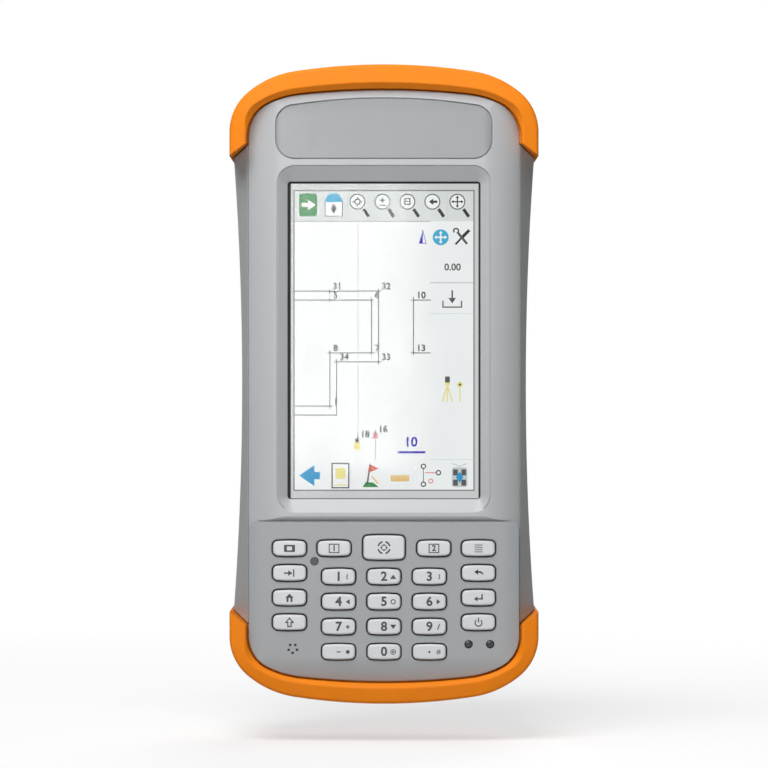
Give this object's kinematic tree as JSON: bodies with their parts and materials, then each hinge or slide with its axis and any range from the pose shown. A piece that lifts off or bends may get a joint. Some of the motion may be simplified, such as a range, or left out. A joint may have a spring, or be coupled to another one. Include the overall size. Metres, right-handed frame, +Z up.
{
  "type": "handheld data collector",
  "caption": "Rugged handheld data collector with a colour touch screen, a rubber-capped case, a numeric keypad, a rear battery door and a hand strap.",
  "frame": {"origin": "bottom centre of the bounding box: on the centre line, at the lowest point of the bottom bumper, half way between the front of the bumpers and the back of the strap", "axes": "+X to the user's right, +Y from the screen to the back, +Z up along the length of the case"},
  "size_m": [0.096, 0.0504, 0.1986],
  "materials": {
    "case_plastic": "fine moulded texture",
    "panel_plastic": "smooth satin",
    "bezel_plastic": "satin",
    "housing_plastic": "moulded texture",
    "silicone": "matte",
    "dome_steel": "satin",
    "board": "solder mask",
    "dark_window": "polished",
    "speaker_metal": "satin",
    "seal_rubber": "matte",
    "glass": "polished",
    "display": "polished",
    "chassis_aluminium": "cast",
    "tinned_steel": "satin",
    "ceramic": "glazed",
    "screw_steel": "satin",
    "insert_brass": "knurled",
    "bumper_rubber": "satin elastomer",
    "connector_plastic": "moulded",
    "battery_plastic": "satin",
    "webbing": "woven",
    "bracket_plastic": "glass-filled nylon",
    "key_plastic": "hard-capped satin"
  },
  "bodies": {
    "case": {"front_case": "case_plastic", "name_panel": "panel_plastic", "keypad_bezel": "bezel_plastic", "keypad_mat": "silicone", "key_domes": "dome_steel", "keypad_board": "board", "sensor_window": "dark_window", "indicator_lenses": "dark_window", "speaker": "speaker_metal", "screen_gasket": "seal_rubber", "cover_glass": "glass", "display_module": "display", "display_chassis": "chassis_aluminium", "main_board": "board", "shield_cans": "tinned_steel", "satellite_antenna": "ceramic", "housing": "housing_plastic", "case_seal": "seal_rubber", "case_screws": "screw_steel", "bracket_inserts": "insert_brass", "top_bumper": "bumper_rubber", "bottom_bumper": "bumper_rubber", "connector_block": "connector_plastic", "battery_pack": "battery_plastic", "battery_contacts": "insert_brass", "strap_pin": "screw_steel", "strap_bracket_top": "bracket_plastic", "strap_bracket_bottom": "bracket_plastic", "bracket_screws": "screw_steel"},
    "door": {"battery_door": "housing_plastic", "door_seal": "seal_rubber"},
    "fastener_left": {"door_fastener_left": "screw_steel"},
    "fastener_right": {"door_fastener_right": "screw_steel"},
    "strap": {"hand_strap": "webbing", "strap_hook": "screw_steel"},
    "flap": {"port_cover": "bumper_rubber"},
    "key_select_body": {"key_select": "key_plastic"},
    "key_window_body": {"key_window": "key_plastic"},
    "key_tab_body": {"key_tab": "key_plastic"},
    "key_home_body": {"key_home": "key_plastic"},
    "key_shift_body": {"key_shift": "key_plastic"},
    "key_menu_body": {"key_menu": "key_plastic"},
    "key_back_body": {"key_back": "key_plastic"},
    "key_enter_body": {"key_enter": "key_plastic"},
    "key_power_body": {"key_power": "key_plastic"},
    "key_program_1_body": {"key_program_1": "key_plastic"},
    "key_program_2_body": {"key_program_2": "key_plastic"},
    "key_1_body": {"key_1": "key_plastic"},
    "key_2_body": {"key_2": "key_plastic"},
    "key_3_body": {"key_3": "key_plastic"},
    "key_4_body": {"key_4": "key_plastic"},
    "key_5_body": {"key_5": "key_plastic"},
    "key_6_body": {"key_6": "key_plastic"},
    "key_7_body": {"key_7": "key_plastic"},
    "key_8_body": {"key_8": "key_plastic"},
    "key_9_body": {"key_9": "key_plastic"},
    "key_minus_body": {"key_minus": "key_plastic"},
    "key_0_body": {"key_0": "key_plastic"},
    "key_point_body": {"key_point": "key_plastic"}
  },
  "joints": [
    {"name": "strap_swing", "type": "hinge", "parent": "case", "child": "strap", "pos_m": [0, 0.02115, 0.152], "axis": [1, 0, 0], "range_deg": [0, 100]},
    {"name": "door_tilt", "type": "hinge", "parent": "case", "child": "door", "pos_m": [0, 0.0148, 0.133], "axis": [1, 0, 0], "range_deg": [0, 30]},
    {"name": "fastener_left_turn", "type": "hinge", "parent": "door", "child": "fastener_left", "pos_m": [-0.024, 0.0148, 0.044], "axis": [0, 1, 0], "range_deg": [0, 90]},
    {"name": "fastener_right_turn", "type": "hinge", "parent": "door", "child": "fastener_right", "pos_m": [0.024, 0.0148, 0.044], "axis": [0, 1, 0], "range_deg": [0, 90]},
    {"name": "flap_swing", "type": "hinge", "parent": "case", "child": "flap", "pos_m": [0, 0.0028, 0.0019], "axis": [1, 0, 0], "range_deg": [0, 90]},
    {"name": "press_select", "type": "slide", "parent": "case", "child": "key_select_body", "axis": [0, 1, 0], "range_m": [0, 0.0008]},
    {"name": "press_window", "type": "slide", "parent": "case", "child": "key_window_body", "axis": [0, 1, 0], "range_m": [0, 0.0008]},
    {"name": "press_tab", "type": "slide", "parent": "case", "child": "key_tab_body", "axis": [0, 1, 0], "range_m": [0, 0.0008]},
    {"name": "press_home", "type": "slide", "parent": "case", "child": "key_home_body", "axis": [0, 1, 0], "range_m": [0, 0.0008]},
    {"name": "press_shift", "type": "slide", "parent": "case", "child": "key_shift_body", "axis": [0, 1, 0], "range_m": [0, 0.0008]},
    {"name": "press_menu", "type": "slide", "parent": "case", "child": "key_menu_body", "axis": [0, 1, 0], "range_m": [0, 0.0008]},
    {"name": "press_back", "type": "slide", "parent": "case", "child": "key_back_body", "axis": [0, 1, 0], "range_m": [0, 0.0008]},
    {"name": "press_enter", "type": "slide", "parent": "case", "child": "key_enter_body", "axis": [0, 1, 0], "range_m": [0, 0.0008]},
    {"name": "press_power", "type": "slide", "parent": "case", "child": "key_power_body", "axis": [0, 1, 0], "range_m": [0, 0.0008]},
    {"name": "press_program_1", "type": "slide", "parent": "case", "child": "key_program_1_body", "axis": [0, 1, 0], "range_m": [0, 0.0008]},
    {"name": "press_program_2", "type": "slide", "parent": "case", "child": "key_program_2_body", "axis": [0, 1, 0], "range_m": [0, 0.0008]},
    {"name": "press_1", "type": "slide", "parent": "case", "child": "key_1_body", "axis": [0, 1, 0], "range_m": [0, 0.0008]},
    {"name": "press_2", "type": "slide", "parent": "case", "child": "key_2_body", "axis": [0, 1, 0], "range_m": [0, 0.0008]},
    {"name": "press_3", "type": "slide", "parent": "case", "child": "key_3_body", "axis": [0, 1, 0], "range_m": [0, 0.0008]},
    {"name": "press_4", "type": "slide", "parent": "case", "child": "key_4_body", "axis": [0, 1, 0], "range_m": [0, 0.0008]},
    {"name": "press_5", "type": "slide", "parent": "case", "child": "key_5_body", "axis": [0, 1, 0], "range_m": [0, 0.0008]},
    {"name": "press_6", "type": "slide", "parent": "case", "child": "key_6_body", "axis": [0, 1, 0], "range_m": [0, 0.0008]},
    {"name": "press_7", "type": "slide", "parent": "case", "child": "key_7_body", "axis": [0, 1, 0], "range_m": [0, 0.0008]},
    {"name": "press_8", "type": "slide", "parent": "case", "child": "key_8_body", "axis": [0, 1, 0], "range_m": [0, 0.0008]},
    {"name": "press_9", "type": "slide", "parent": "case", "child": "key_9_body", "axis": [0, 1, 0], "range_m": [0, 0.0008]},
    {"name": "press_minus", "type": "slide", "parent": "case", "child": "key_minus_body", "axis": [0, 1, 0], "range_m": [0, 0.0008]},
    {"name": "press_0", "type": "slide", "parent": "case", "child": "key_0_body", "axis": [0, 1, 0], "range_m": [0, 0.0008]},
    {"name": "press_point", "type": "slide", "parent": "case", "child": "key_point_body", "axis": [0, 1, 0], "range_m": [0, 0.0008]}
  ],
  "couplings": [
    {"joint": "door_tilt", "follows": "strap_swing", "ratio": 0.3}
  ]
}
